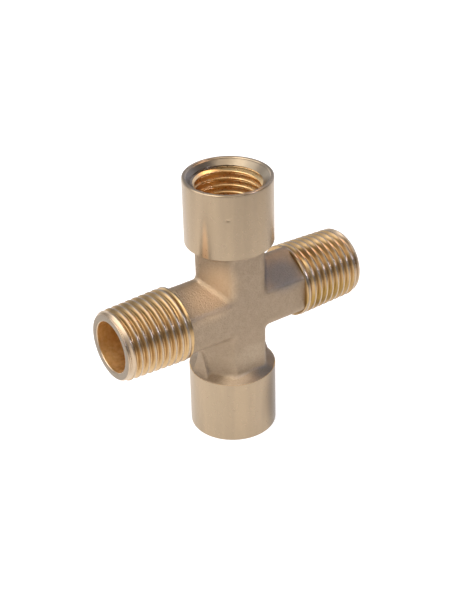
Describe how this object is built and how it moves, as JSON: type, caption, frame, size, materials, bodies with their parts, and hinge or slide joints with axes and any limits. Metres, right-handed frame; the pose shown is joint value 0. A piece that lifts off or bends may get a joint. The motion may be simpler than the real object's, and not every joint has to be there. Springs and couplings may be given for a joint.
{
  "type": "cross pipe fitting",
  "caption": "Forged brass cross fitting in one plane: internally threaded sockets up and down, externally threaded tapered ends left and right.",
  "frame": {"origin": "the crossing of the two port axes, at the centre of the fitting", "axes": "+Z along the upper socket's axis, +X along the right stub's axis, -Y is the front"},
  "size_m": [0.05, 0.0158, 0.05],
  "materials": {
    "forged_brass": "matte",
    "turned_brass": "satin",
    "threaded_brass": "polished"
  },
  "bodies": {
    "root": {"forged_body": "forged_brass", "female_socket_top": "turned_brass", "female_socket_bottom": "turned_brass", "male_thread_left": "threaded_brass", "male_thread_right": "threaded_brass"}
  },
  "joints": []
}
